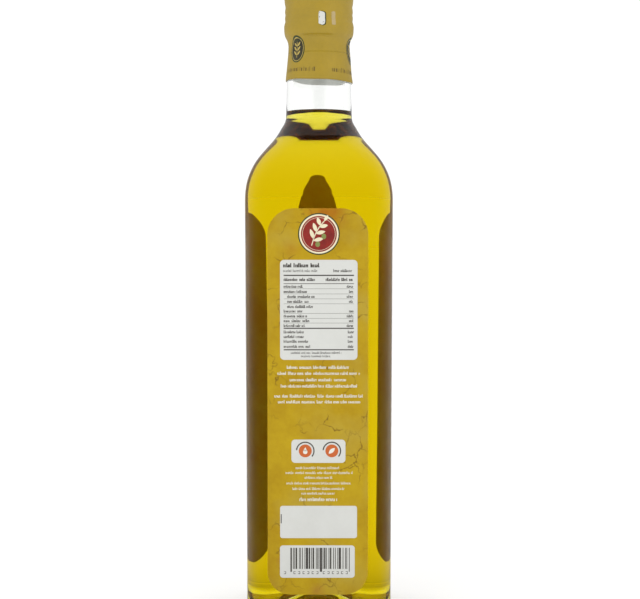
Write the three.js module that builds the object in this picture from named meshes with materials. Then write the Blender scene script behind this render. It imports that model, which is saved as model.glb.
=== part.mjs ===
// Square olive oil bottle with a screw cap, a shrink capsule and two paper labels.
// Millimetres, +Z up, origin at the middle of the base. The label shown faces -Y.
import * as THREE from 'three';

// Body of the bottle
const BODY_HALF_TOP = 33.4;       // half width across the flats under the shoulder
const BODY_HALF_BOTTOM = 32.72;   // half width across the flats above the heel
const BODY_CORNER_R = 10.5;       // radius of the four upright corners
const HEEL_R = 8;                 // radius between the sides and the base
const BODY_TOP_Z = 192;           // where the flat sides end
const PUNT_R = 21.5;              // round recess in the base
const PUNT_DEPTH = 9.3;

// Half width of the shoulder and neck at each height
const SHOULDER = [
  [194.7, 33.3], [197.5, 32.98], [200.3, 32.45], [203.1, 31.62], [205.9, 30.5],
  [208.8, 29.02], [211.6, 27.2], [214.5, 24.95], [217.3, 22.75], [220.2, 20.6],
  [223.1, 18.8], [226.1, 17.2], [228.9, 15.75], [230.3, 15.42], [231.7, 15.35],
];
const ROUND_START_Z = 214;        // the square section grows round between these heights
const ROUND_END_Z = 231;
const NECK = [
  [236, 15.2], [241, 15.05], [247, 14.95], [252, 14.68], [256, 14.38], [260, 14.0],
  [264, 13.62], [267.5, 13.55], [269, 13.9], [284, 13.9],
];
const MOUTH_Z = 289.4;
const MOUTH_R = 13.7;
const BORE_R = 12.2;

// Glass thickness
const WALL = 2.7;
const INNER_CORNER_R = 8;
const FLOOR_Z = 7.5;              // inner floor near the sides
const FLOOR_RISE = 5.5;           // the floor is domed over the punt
const INNER_FILLET_R = 4;
const NECK_START_Z = 238;         // the bore is straight above this height

// Oil: level in the middle and [distance in from the wall, rise] of the curved edge of its surface
const OIL_TOP_Z = 231.5;
const OIL_GAP = 0.1;
const OIL_EDGE = [[0.1, 2.1], [0.85, 1.05], [2.1, 0.45], [4.2, 0.1]];

// Capsule profile, radius at each height, from its lower edge to the top
const CAPSULE = [
  [247.2, 15.52], [248.4, 15.46], [252.1, 15.12], [255.8, 14.8], [259.5, 14.46],
  [262.0, 14.26], [263.6, 14.2], [265.0, 14.32], [266.2, 14.65], [267.3, 15.2],
  [268.4, 15.75], [269.6, 16.03], [270.8, 16.14], [272.6, 16.2], [274.0, 15.95], [275.2, 15.66], [276.6, 15.8],
  [278.1, 15.62], [279.7, 15.78], [281.7, 15.56], [283.4, 15.86], [285.4, 16.02],
  [290.6, 16.02], [291.6, 15.55],
];
const TOTAL_H = 292;
const CAPSULE_TOP_R = 14.6;
const CAPSULE_WALL = 0.25;
const CAP_GAP = 0.15;

// Screw cap
const CAP_BOTTOM_Z = 268.4;
const CAP_WALL = 0.8;
const CAP_TOP_THICK = 1.6;

// Labels
const BACK_LABEL = { side: -1, half: 22.5, centre: -0.5, lowZ: 14.5, highZ: 188, crest: false };
const FRONT_LABEL = { side: 1, half: 22.3, centre: -1.7, lowZ: 18.5, highZ: 187, crest: true };
const LABEL_TOP_R = 12;
const LABEL_LOW_R = 10.5;
const LABEL_THICK = 0.12;
const LABEL_GAP = 0.05;

// Domed crest on the top of the front label
const CREST_HALF = 9.2;
const CREST_RISE = 10.6;
const CREST_FOOT = 0.3;           // height of its foot over the label's top edge
const CREST_SHIFT = 1.0;          // offset from the label's centre
const CREST_POWER = 0.8;          // below 1 its sides stand fuller than an ellipse

// Points round every section: the same number in each of the four corners
const CORNER_POINTS = 10;

const mix = (a, b, t) => a + (b - a) * t;
const clamp01 = (t) => Math.min(1, Math.max(0, t));
const smooth = (t) => clamp01(t) ** 2 * (3 - 2 * clamp01(t));

// Distance from the axis to a rounded square (half width w, corner radius r) in a direction
function reach(theta, w, r) {
  const folded = Math.abs(((theta + Math.PI / 4) % (Math.PI / 2)) - Math.PI / 4);
  if (w * Math.tan(folded) <= w - r) return w / Math.cos(folded);
  const c = w - r;
  const along = c * (Math.cos(folded) + Math.sin(folded));
  return along + Math.sqrt(r * r - 2 * c * c + along * along);
}

// One closed section at height z: even steps round a circle, steps gathered in the corners
// of a rounded square, and a mix of the two between them
function section(z, w, cornerR) {
  const r = Math.min(cornerR, w);
  const round = smooth((r / w - 0.36) / 0.64);
  const points = [];
  for (let corner = 0; corner < 4; corner += 1) {
    for (let i = 0; i < CORNER_POINTS; i += 1) {
      const phi = (Math.PI / 2) * (i / (CORNER_POINTS - 1));
      const square = Math.atan2(w - r + r * Math.sin(phi), w - r + r * Math.cos(phi));
      const even = (Math.PI / 2) * ((i + 0.5) / CORNER_POINTS);
      const theta = mix(square, even, round) + (corner * Math.PI) / 2;
      const rho = reach(theta, w, r);
      points.push([rho * Math.cos(theta), rho * Math.sin(theta), z]);
    }
  }
  return points;
}

// A closed body from sections in order, with a point on the axis at either end
function loft(startZ, sections, endZ) {
  const positions = [];
  const index = [];
  const count = sections[0].length;
  const start = positions.push([0, 0, startZ]) - 1;
  const first = sections.map((ring) => {
    const at = positions.length;
    positions.push(...ring);
    return at;
  });
  const end = positions.push([0, 0, endZ]) - 1;
  for (let i = 0; i < count; i += 1) {
    const next = (i + 1) % count;
    index.push(start, first[0] + next, first[0] + i);
    for (let k = 0; k + 1 < first.length; k += 1) {
      const low = first[k];
      const high = first[k + 1];
      index.push(low + i, low + next, high + next, low + i, high + next, high + i);
    }
    const last = first[first.length - 1];
    index.push(last + i, last + next, end);
  }
  return bodyOf(positions, index);
}

function bodyOf(positions, index) {
  const geometry = new THREE.BufferGeometry();
  geometry.setAttribute('position', new THREE.Float32BufferAttribute(positions.flat(), 3));
  geometry.setIndex(index);
  geometry.computeVertexNormals();
  return geometry;
}

// Quarter circle steps from level to upright, as [across, up] fractions
function quarter(steps) {
  return Array.from({ length: steps + 1 }, (_, i) => {
    const a = (Math.PI / 2) * (i / steps);
    return [Math.sin(a), 1 - Math.cos(a)];
  });
}

// How round the section is at a height: 0 on the body, 1 on the neck
function roundness(z) {
  return smooth((z - ROUND_START_Z) / (ROUND_END_Z - ROUND_START_Z));
}

// Half width and corner radius of the outside from the heel to the neck
function outsideProfile() {
  const profile = [
    { z: HEEL_R, w: BODY_HALF_BOTTOM, r: BODY_CORNER_R },
    { z: BODY_TOP_Z, w: BODY_HALF_TOP, r: BODY_CORNER_R },
  ];
  SHOULDER.forEach(([z, w]) => {
    profile.push({ z, w, r: mix(BODY_CORNER_R, w, roundness(z)) });
  });
  NECK.forEach(([z, w]) => profile.push({ z, w, r: w }));
  return profile;
}

function halfWidthAt(z) {
  const profile = outsideProfile();
  const k = Math.max(1, profile.findIndex((row) => row.z >= z));
  const [a, b] = [profile[k - 1], profile[k]];
  return mix(a.w, b.w, (z - a.z) / (b.z - a.z));
}

// The inside of the glass: the outside moved in by the wall, never under the bore
function insideProfile() {
  const outside = outsideProfile();
  const rows = [];
  outside.forEach((row, k) => {
    if (row.z < BODY_TOP_Z || row.z > NECK_START_Z) return;
    const [a, b] = [outside[k - 1], outside[Math.min(k + 1, outside.length - 1)]];
    const slope = (b.w - a.w) / (b.z - a.z);
    const length = Math.hypot(1, slope);
    const w = Math.max(BORE_R, row.w - WALL / length);
    const z = row.z + (WALL * slope) / length;
    rows.push({ z, w, r: w === BORE_R ? w : mix(INNER_CORNER_R, w, roundness(row.z)) });
  });
  return rows;
}

// Sections of the room inside, from the middle of the floor to its highest shoulder row
function roomSections(gap) {
  const sideW = BODY_HALF_BOTTOM - WALL - gap;
  const floorW = sideW - INNER_FILLET_R;
  const sections = [0.3, 0.62, 1].map((f) => {
    const z = FLOOR_Z + gap + FLOOR_RISE * (1 - f * f);
    const w = f * floorW;
    return section(z, w, mix(w, INNER_CORNER_R * 0.45, f * f));
  });
  quarter(5).slice(1).forEach(([across, up]) => {
    const r = mix(INNER_CORNER_R * 0.45, INNER_CORNER_R, across);
    const w = floorW + INNER_FILLET_R * across;
    sections.push(section(FLOOR_Z + gap + INNER_FILLET_R * up, w, r));
  });
  insideProfile().forEach((row) => {
    if (row.z < OIL_TOP_Z - 0.4) sections.push(section(row.z, row.w - gap, row.r - gap));
  });
  return sections;
}

function glassBottle() {
  const rings = [];
  // Punt, bearing ring and heel
  [0.35, 0.7, 0.96].forEach((f) => {
    rings.push(section(PUNT_DEPTH * (1 - f * f), PUNT_R * f, PUNT_R * f));
  });
  rings.push(section(0, PUNT_R, PUNT_R));
  quarter(4).forEach(([across, up]) => {
    const w = BODY_HALF_BOTTOM - HEEL_R * (1 - across);
    rings.push(section(HEEL_R * up, w, BODY_CORNER_R - HEEL_R * (1 - across)));
  });
  outsideProfile().slice(1).forEach((row) => rings.push(section(row.z, row.w, row.r)));
  // Mouth with a rounded lip, then down the bore to the floor
  rings.push(section(MOUTH_Z - 0.7, MOUTH_R + 0.2, MOUTH_R + 0.2));
  rings.push(section(MOUTH_Z, MOUTH_R - 0.5, MOUTH_R - 0.5));
  rings.push(section(MOUTH_Z, BORE_R + 0.5, BORE_R + 0.5));
  [MOUTH_Z - 0.7, 264, OIL_TOP_Z].forEach((z) => rings.push(section(z, BORE_R, BORE_R)));
  rings.push(...roomSections(0).reverse());
  return loft(PUNT_DEPTH, rings, FLOOR_Z + FLOOR_RISE);
}

function oliveOil() {
  const rings = roomSections(OIL_GAP);
  rings.push(section(OIL_TOP_Z, BORE_R - OIL_GAP, BORE_R));
  OIL_EDGE.forEach(([inset, up]) => rings.push(section(OIL_TOP_Z + up, BORE_R - inset, BORE_R)));
  return loft(FLOOR_Z + FLOOR_RISE + OIL_GAP, rings, OIL_TOP_Z);
}

// Capsule radius moved in by a distance, as sections from the lower edge up
function capsuleSections(inset) {
  return CAPSULE.map(([z, r]) => section(Math.min(z, TOTAL_H - inset), r - inset, r));
}

function neckCapsule() {
  const outside = capsuleSections(0);
  outside.push(section(TOTAL_H, CAPSULE_TOP_R, CAPSULE_TOP_R));
  const inside = capsuleSections(CAPSULE_WALL).slice(0, -1);
  const roof = TOTAL_H - CAPSULE_WALL;
  inside.push(section(roof - 0.4, CAPSULE[CAPSULE.length - 1][1] - CAPSULE_WALL, 20));
  inside.push(section(roof, CAPSULE_TOP_R - CAPSULE_WALL, CAPSULE_TOP_R));
  return loft(roof, [...inside.reverse(), ...outside], TOTAL_H);
}

function screwCap() {
  const inset = CAPSULE_WALL + CAP_GAP;
  const skin = CAPSULE.filter(([z]) => z > CAP_BOTTOM_Z + 0.2);
  const outside = skin.map(([z, r]) => section(Math.min(z, TOTAL_H - inset - 0.4), r - inset, r));
  const roof = TOTAL_H - inset;
  outside.push(section(roof, CAPSULE_TOP_R - inset, 20));
  const boreR = Math.min(...skin.map(([, r]) => r)) - inset - CAP_WALL;
  const under = TOTAL_H - inset - CAP_TOP_THICK;
  const lipR = skin[0][1] - inset;
  const rings = [
    section(under, boreR - 0.4, 20),
    section(under - 0.4, boreR, 20),
    section(CAP_BOTTOM_Z, boreR, 20),
    section(CAP_BOTTOM_Z, lipR - 0.3, 20),
  ];
  return loft(under, [...rings, ...outside], roof);
}

// Rows of a label from the lower edge up, as [z, centre, half width]
function labelRows({ half, centre, lowZ, highZ, crest }) {
  const steps = 9;
  const corner = Array.from({ length: steps + 1 }, (_, i) => (Math.PI / 2) * (i / steps));
  const rows = corner.map((a) => (
    [lowZ + LABEL_LOW_R * (1 - Math.cos(a)), centre, half - LABEL_LOW_R * (1 - Math.sin(a))]
  ));
  corner.forEach((a) => rows.push(
    [highZ - LABEL_TOP_R * (1 - Math.sin(a)), centre, half - LABEL_TOP_R * (1 - Math.cos(a))],
  ));
  if (crest) rows.push(...crestRows(centre + CREST_SHIFT, highZ + CREST_FOOT));
  return rows;
}

// Rows of the crest, with one at each height where the glass behind it bends
function crestRows(centre, footZ) {
  const angles = Array.from({ length: 9 }, (_, i) => (Math.PI / 2) * (i / 8.4));
  [BODY_TOP_Z, SHOULDER[0][0], SHOULDER[1][0]].forEach((z) => {
    angles.push(Math.asin((z - footZ) / CREST_RISE));
  });
  angles.sort((a, b) => a - b);
  return angles.map((a) => (
    [footZ + CREST_RISE * Math.sin(a), centre, CREST_HALF * Math.cos(a) ** CREST_POWER]
  ));
}

// A thin skin on the flat side of the bottle; side is -1 for the -Y face and 1 for the +Y face
function label(shape) {
  const positions = [];
  const index = [];
  const { side } = shape;
  const rows = labelRows(shape);
  rows.forEach(([z, centre, half]) => {
    const inner = halfWidthAt(z) + LABEL_GAP;
    const outer = inner + LABEL_THICK;
    positions.push([centre - half, side * outer, z], [centre + half, side * outer, z]);
    positions.push([centre + half, side * inner, z], [centre - half, side * inner, z]);
  });
  const quad = (a, b, c, d) => {
    if (side < 0) index.push(a, b, c, a, c, d);
    else index.push(a, c, b, a, d, c);
  };
  for (let k = 0; k + 1 < rows.length; k += 1) {
    for (let i = 0; i < 4; i += 1) {
      const j = (i + 1) % 4;
      quad(4 * k + i, 4 * k + j, 4 * k + 4 + j, 4 * k + 4 + i);
    }
  }
  const top = 4 * (rows.length - 1);
  quad(3, 2, 1, 0);
  quad(top, top + 1, top + 2, top + 3);
  return bodyOf(positions, index);
}

function piece(name, geometry, color, roughness, metalness, extra = {}) {
  const material = new THREE.MeshStandardMaterial({ color, roughness, metalness, ...extra });
  const mesh = new THREE.Mesh(geometry, material);
  mesh.name = name;
  return mesh;
}

const group = new THREE.Group();
group.name = 'square_oil_bottle';
group.add(
  piece('glass_bottle', glassBottle(), 0xe8efe6, 0.05, 0, { transparent: true, opacity: 0.35 }),
  piece('olive_oil', oliveOil(), 0xd9bc08, 0.1, 0),
  piece('screw_cap', screwCap(), 0xc9c6bb, 0.35, 0.9),
  piece('neck_capsule', neckCapsule(), 0xab8e36, 0.4, 0.1),
  piece('back_label', label(BACK_LABEL), 0xbb9b3b, 0.6, 0),
  piece('front_label', label(FRONT_LABEL), 0xbb9b3b, 0.6, 0),
);

export default group;
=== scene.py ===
"""Square bottle of olive oil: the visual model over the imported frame. Metres, +Z up, face shown on -Y."""
import logging
import math
import random
from dataclasses import dataclass, field
from enum import Enum

import bpy
import numpy as np
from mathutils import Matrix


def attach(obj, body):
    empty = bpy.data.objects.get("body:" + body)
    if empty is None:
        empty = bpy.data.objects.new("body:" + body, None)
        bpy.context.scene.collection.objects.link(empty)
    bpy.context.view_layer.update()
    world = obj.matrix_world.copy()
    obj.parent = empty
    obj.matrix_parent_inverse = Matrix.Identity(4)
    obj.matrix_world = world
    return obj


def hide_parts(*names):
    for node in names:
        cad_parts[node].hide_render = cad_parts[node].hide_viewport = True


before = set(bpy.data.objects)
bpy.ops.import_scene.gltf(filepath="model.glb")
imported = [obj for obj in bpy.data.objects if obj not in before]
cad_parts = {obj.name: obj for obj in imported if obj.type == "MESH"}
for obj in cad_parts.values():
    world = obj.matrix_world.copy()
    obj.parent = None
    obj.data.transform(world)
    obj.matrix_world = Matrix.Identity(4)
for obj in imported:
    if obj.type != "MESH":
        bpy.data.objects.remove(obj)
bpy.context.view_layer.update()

LOG = logging.getLogger("oil_bottle")
MM = 0.001
TURN = 2 * math.pi


# Curves and meshes
@dataclass(frozen=True)
class Profile:
    """A smooth curve that never overshoots, through (height, value) rows in mm."""

    rows: tuple

    def at(self, z: float) -> float:
        """Value at a height.

        Args:
            z: height in mm.

        Returns:
            The value on the curve.
        """
        x = np.array([r[0] for r in self.rows])
        y = np.array([r[1] for r in self.rows])
        if z <= x[0]:
            return float(y[0])
        if z >= x[-1]:
            return float(y[-1])
        h = np.diff(x)
        d = np.diff(y) / h
        m = np.zeros(len(x))
        m[0], m[-1] = d[0], d[-1]
        for i in range(1, len(x) - 1):
            if d[i - 1] * d[i] > 0:
                w1, w2 = 2 * h[i] + h[i - 1], h[i] + 2 * h[i - 1]
                m[i] = (w1 + w2) / (w1 / d[i - 1] + w2 / d[i])
        k = int(np.searchsorted(x, z) - 1)
        t = (z - x[k]) / h[k]
        a, b = y[k], y[k + 1]
        p, q = m[k] * h[k], m[k + 1] * h[k]
        return float(a * (1 + 2 * t) * (1 - t) ** 2 + p * t * (1 - t) ** 2
                     + b * t * t * (3 - 2 * t) + q * t * t * (t - 1))


def mix(a: float, b: float, t: float) -> float:
    """Straight mix of two values."""
    return a + (b - a) * t


def smooth(t: float) -> float:
    """Smooth step of t held between 0 and 1."""
    t = min(1.0, max(0.0, t))
    return t * t * (3 - 2 * t)


def reach(theta: np.ndarray, w: float, r: float) -> np.ndarray:
    """Distance from the axis to a rounded square in each direction.

    Args:
        theta: directions in radians.
        w: half width across the flats.
        r: corner radius, w for a circle.

    Returns:
        One distance per direction.
    """
    folded = np.abs((theta + math.pi / 4) % (math.pi / 2) - math.pi / 4)
    c = w - r
    along = c * (np.cos(folded) + np.sin(folded))
    arc = along + np.sqrt(np.maximum(0.0, r * r - 2 * c * c + along * along))
    return np.where(w * np.tan(folded) <= c, w / np.cos(folded), arc)


FLAT_STEPS = (0.0, 0.5, 0.9, 0.985)
ARC_STEPS = 24


def section(z: float, w: float, corner: float) -> np.ndarray:
    """One closed section of the bottle at a height.

    Args:
        z: height in mm.
        w: half width in mm.
        corner: corner radius in mm.

    Returns:
        Points in mm, one row each.
    """
    r = min(corner, w)
    c = w - r
    flat = [(w, c * f) for f in FLAT_STEPS]
    phi = np.linspace(0, math.pi / 2, ARC_STEPS + 1)
    arc = [(c + r * math.cos(p), c + r * math.sin(p)) for p in phi]
    quad = flat + arc + [(y, x) for x, y in reversed(flat[1:])]
    square = np.array([math.atan2(y, x) for x, y in quad])
    even = (math.pi / 2) * np.arange(len(quad)) / len(quad)
    theta = mix(square, even, smooth((r / w - 0.36) / 0.64))
    theta = np.concatenate([theta + k * math.pi / 2 for k in range(4)])
    rho = reach(theta, w, r)
    return np.column_stack([rho * np.cos(theta), rho * np.sin(theta), np.full(len(theta), z)])


def circle(z: float, r: float) -> np.ndarray:
    """A round section with as many points as a square one."""
    return section(z, r, r)


def mesh_object(name: str, verts: list, faces: list, rounded: bool = True) -> bpy.types.Object:
    """A new object from points in mm.

    Args:
        name: object name.
        verts: points in mm.
        faces: lists of point numbers, counter-clockwise seen from outside.
        rounded: shade smooth.

    Returns:
        The object, linked to the scene.
    """
    mesh = bpy.data.meshes.new(name)
    mesh.from_pydata([tuple(float(c) * MM for c in v) for v in verts], [], faces)
    mesh.polygons.foreach_set("use_smooth", [rounded] * len(mesh.polygons))
    mesh.update()
    obj = bpy.data.objects.new(name, mesh)
    bpy.context.scene.collection.objects.link(obj)
    return obj


def loft(name: str, start: float, rings: list, end: float) -> bpy.types.Object:
    """A closed body from sections in order, with a point on the axis at either end.

    Args:
        name: object name.
        start: height of the first axis point in mm.
        rings: sections from the first to the last.
        end: height of the last axis point in mm.

    Returns:
        The object.
    """
    count = len(rings[0])
    verts = [(0, 0, start)] + [tuple(p) for ring in rings for p in ring] + [(0, 0, end)]
    last = len(verts) - 1
    faces = []
    for i in range(count):
        j = (i + 1) % count
        faces.append((0, 1 + j, 1 + i))
        for k in range(len(rings) - 1):
            a, b = 1 + k * count, 1 + (k + 1) * count
            faces.append((a + i, a + j, b + j, b + i))
        top = 1 + (len(rings) - 1) * count
        faces.append((top + i, top + j, last))
    return mesh_object(name, verts, faces)


def quarter(steps: int) -> list:
    """Quarter circle from level to upright, as (across, up) fractions."""
    return [(math.sin(a), 1 - math.cos(a)) for a in np.linspace(0, math.pi / 2, steps + 1)]


# Shader groups and finishes
class Wiring:
    """Short hand for building a node tree."""

    def __init__(self, tree: bpy.types.NodeTree) -> None:
        """Keep the tree that nodes go into."""
        self.tree = tree

    def add(self, kind: str, inputs: dict | None = None, **values) -> bpy.types.Node:
        """Add a node.

        Args:
            kind: node type.
            inputs: socket name or number to a value or another node's output.
            **values: attributes of the node.

        Returns:
            The node.
        """
        node = self.tree.nodes.new(kind)
        for key, value in values.items():
            setattr(node, key, value)
        for key, value in (inputs or {}).items():
            if isinstance(value, bpy.types.NodeSocket):
                self.tree.links.new(value, node.inputs[key])
            else:
                node.inputs[key].default_value = value
        return node

    def math(self, operation: str, a, b=0.0, clamp: bool = False) -> bpy.types.NodeSocket:
        """A Math node's output for two values or sockets."""
        return self.add("ShaderNodeMath", {0: a, 1: b}, operation=operation, use_clamp=clamp).outputs[0]

    def vector(self, operation: str, a, b=(0.0, 0.0, 0.0)) -> bpy.types.Node:
        """A Vector Math node for two vectors or sockets."""
        return self.add("ShaderNodeVectorMath", {0: a, 1: b}, operation=operation)

    def blend(self, factor, a, b) -> bpy.types.NodeSocket:
        """A colour mix's output."""
        return self.add("ShaderNodeMix", {0: factor, 6: a, 7: b}, data_type="RGBA").outputs[2]

    def ramp(self, value, low: float, high: float) -> bpy.types.NodeSocket:
        """A value stretched from low..high to 0..1 and held there."""
        return self.add("ShaderNodeMapRange", {0: value, 1: low, 2: high}, clamp=True).outputs[0]

    def noise(self, vector, scale, detail: float = 4.0, rough: float = 0.55) -> bpy.types.NodeSocket:
        """A noise texture's value."""
        return self.add("ShaderNodeTexNoise",
                        {"Vector": vector, "Scale": scale, "Detail": detail, "Roughness": rough}).outputs[0]


def new_group(name: str, takes: dict, gives: dict) -> tuple:
    """A shader node group with named sockets.

    Args:
        name: group name.
        takes: input name to (socket type, default).
        gives: output name to socket type.

    Returns:
        The tree, its Wiring, its input node and its output node.
    """
    tree = bpy.data.node_groups.new(name, "ShaderNodeTree")
    for key, (kind, default) in takes.items():
        socket = tree.interface.new_socket(key, in_out="INPUT", socket_type=kind)
        if default is not None:
            socket.default_value = default
    for key, kind in gives.items():
        tree.interface.new_socket(key, in_out="OUTPUT", socket_type=kind)
    wire = Wiring(tree)
    return tree, wire, wire.add("NodeGroupInput"), wire.add("NodeGroupOutput")


FLOAT, COLOUR, VECTOR = "NodeSocketFloat", "NodeSocketColor", "NodeSocketVector"


class Effects:
    """The effects that several finishes share, each a node group built once."""

    def __init__(self) -> None:
        """Build the groups."""
        self.mottle = self._mottle()
        self.fine_relief = self._fine_relief()
        self.dust = self._dust()

    def _mottle(self) -> bpy.types.NodeTree:
        """Soft patches of two colours with streaks, for printed paper and shrink film."""
        tree, w, src, out = new_group("Mottled colour", {
            "Vector": (VECTOR, None), "Light": (COLOUR, (1, 1, 1, 1)), "Dark": (COLOUR, (0, 0, 0, 1)),
            "Patch scale": (FLOAT, 60.0), "Fine scale": (FLOAT, 400.0), "Contrast": (FLOAT, 0.6)},
            {"Color": COLOUR, "Mask": FLOAT})
        o = src.outputs
        patch = w.noise(o["Vector"], o["Patch scale"])
        fine = w.noise(o["Vector"], o["Fine scale"], 6.0, 0.65)
        both = w.math("ADD", w.math("MULTIPLY", patch, 0.72), w.math("MULTIPLY", fine, 0.28))
        mask = w.math("MULTIPLY", w.ramp(both, 0.36, 0.64), o["Contrast"])
        colour = w.blend(mask, o["Light"], o["Dark"])
        w.tree.links.new(colour, out.inputs["Color"])
        w.tree.links.new(mask, out.inputs["Mask"])
        return tree

    def _fine_relief(self) -> bpy.types.NodeTree:
        """A height for slight unevenness, with grain over it."""
        tree, w, src, out = new_group("Fine relief", {
            "Vector": (VECTOR, None), "Wave scale": (FLOAT, 40.0), "Grain scale": (FLOAT, 900.0),
            "Grain share": (FLOAT, 0.3)}, {"Height": FLOAT})
        o = src.outputs
        wave = w.noise(o["Vector"], o["Wave scale"], 2.0, 0.4)
        grain = w.noise(o["Vector"], o["Grain scale"], 5.0, 0.6)
        total = w.math("ADD", wave, w.math("MULTIPLY", grain, o["Grain share"]))
        w.tree.links.new(total, out.inputs["Height"])
        return tree

    def _dust(self) -> bpy.types.NodeTree:
        """A mask of small specks and soft smears."""
        tree, w, src, out = new_group("Dust and smears", {
            "Vector": (VECTOR, None), "Speck scale": (FLOAT, 500.0), "Amount": (FLOAT, 0.5)},
            {"Mask": FLOAT})
        o = src.outputs
        speck = w.add("ShaderNodeTexVoronoi", {"Vector": o["Vector"], "Scale": o["Speck scale"]})
        dots = w.ramp(speck.outputs["Distance"], 0.16, 0.06)
        smear = w.ramp(w.noise(o["Vector"], 70.0, 5.0, 0.7), 0.55, 0.75)
        mask = w.math("MULTIPLY", w.math("ADD", w.math("MULTIPLY", dots, 0.6), smear), o["Amount"], True)
        w.tree.links.new(mask, out.inputs["Mask"])
        return tree


def new_material(name: str) -> tuple:
    """An empty material.

    Args:
        name: material name.

    Returns:
        The material, its Wiring, its Principled shader and its Object coordinates.
    """
    material = bpy.data.materials.new(name)
    material.use_nodes = True
    tree = material.node_tree
    tree.nodes.clear()
    w = Wiring(tree)
    shader = w.add("ShaderNodeBsdfPrincipled")
    output = w.add("ShaderNodeOutputMaterial")
    tree.links.new(shader.outputs[0], output.inputs["Surface"])
    where = w.add("ShaderNodeTexCoord").outputs["Object"]
    return material, w, shader, where


def use_group(w: Wiring, tree: bpy.types.NodeTree, inputs: dict) -> bpy.types.Node:
    """Place a group with its own values in a material."""
    return w.add("ShaderNodeGroup", inputs, node_tree=tree)


def set_sockets(shader: bpy.types.Node, values: dict) -> None:
    """Set plain values on a shader's own sockets."""
    for key, value in values.items():
        shader.inputs[key].default_value = value


@dataclass(frozen=True)
class Relief:
    """Fine unevenness of a finish: scales of waves and grain, share of grain, strength and depth in mm."""

    wave: float
    grain: float
    share: float
    strength: float
    depth: float

    def apply(self, w: Wiring, fx: Effects, where: bpy.types.NodeSocket, shader: bpy.types.Node) -> None:
        """Wire the relief to a shader's normal."""
        height = use_group(w, fx.fine_relief, {"Vector": where, "Wave scale": self.wave,
                                               "Grain scale": self.grain, "Grain share": self.share})
        bump = w.add("ShaderNodeBump", {"Height": height.outputs["Height"], "Strength": self.strength,
                                        "Distance": self.depth * MM})
        w.tree.links.new(bump.outputs[0], shader.inputs["Normal"])


@dataclass(frozen=True)
class ClearGlass:
    """Clear container glass with faint waves and a little dust; where oil wets it, it hardly mirrors."""

    name: str = "Clear glass"
    mirror: tuple = (1, 1, 1, 1)
    colour: tuple = (0.985, 0.992, 0.98, 1)
    ior: float = 1.5
    relief: Relief = Relief(28.0, 120.0, 0.1, 0.25, 0.02)

    def make(self, fx: Effects) -> bpy.types.Material:
        """Build the material."""
        material, w, shader, where = new_material(self.name)
        set_sockets(shader, {"Base Color": self.colour, "IOR": self.ior, "Transmission Weight": 1.0,
                             "Specular Tint": self.mirror})
        dust = use_group(w, fx.dust, {"Vector": where, "Speck scale": 320.0, "Amount": 0.03})
        w.tree.links.new(dust.outputs["Mask"], shader.inputs["Roughness"])
        self.relief.apply(w, fx, where, shader)
        return material


@dataclass(frozen=True)
class GoldenOil:
    """Clear golden oil that deepens with thickness."""

    ior: float = 1.47
    density: float = 115.0
    colour: tuple = (0.944, 0.896, 0.0, 1)
    relief: Relief = Relief(22.0, 60.0, 0.1, 0.1, 0.01)

    def make(self, fx: Effects) -> bpy.types.Material:
        """Build the material."""
        material, w, shader, where = new_material("Golden oil")
        set_sockets(shader, {"Base Color": (1, 1, 1, 1), "Roughness": 0.0, "Specular Tint": (0, 0, 0, 1),
                             "IOR": self.ior, "Transmission Weight": 1.0})
        self.relief.apply(w, fx, where, shader)
        volume = w.add("ShaderNodeVolumeAbsorption", {"Color": self.colour, "Density": self.density})
        out = next(n for n in w.tree.nodes if n.bl_idname == "ShaderNodeOutputMaterial")
        w.tree.links.new(volume.outputs[0], out.inputs["Volume"])
        return material


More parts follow.
